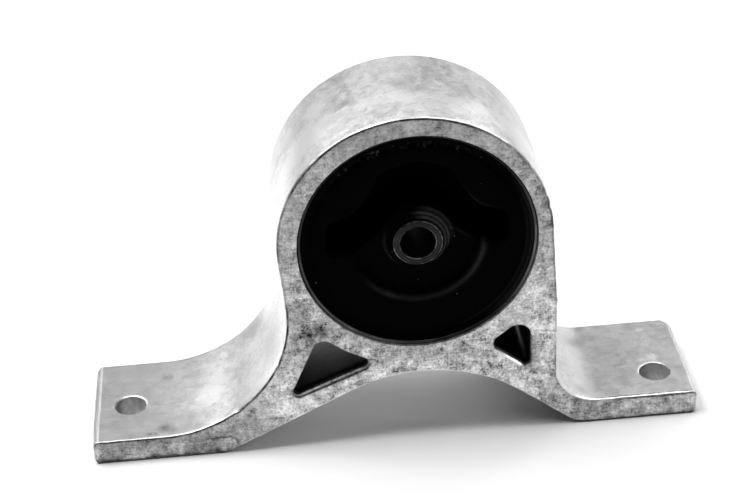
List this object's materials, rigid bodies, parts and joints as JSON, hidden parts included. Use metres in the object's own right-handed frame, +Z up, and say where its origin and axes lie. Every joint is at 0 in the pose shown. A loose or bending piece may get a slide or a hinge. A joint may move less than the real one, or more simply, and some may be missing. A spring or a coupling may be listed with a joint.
{
  "type": "engine mount",
  "caption": "Cast bracket with a ring on splayed feet and triangular leg windows, holding a bonded rubber bush around a steel bolt tube.",
  "frame": {"origin": "centre of the inner tube's bolt bore at mid depth", "axes": "+Y along the bush axis, away from the front face; +X along the length, towards the short foot; +Z up from the feet"},
  "size_m": [0.2201, 0.048, 0.1303],
  "materials": {
    "cast_aluminium": "as-cast and dressed, satin with dark specks and fine scratches",
    "sleeve_steel": "dark phosphated steel",
    "black_rubber": "matt moulded rubber",
    "tube_steel": "turned end face, dark bore"
  },
  "bodies": {
    "root": {"bracket": "cast_aluminium", "bush_outer_sleeve": "sleeve_steel", "bush_rubber": "black_rubber", "bush_inner_tube": "tube_steel"}
  },
  "joints": []
}
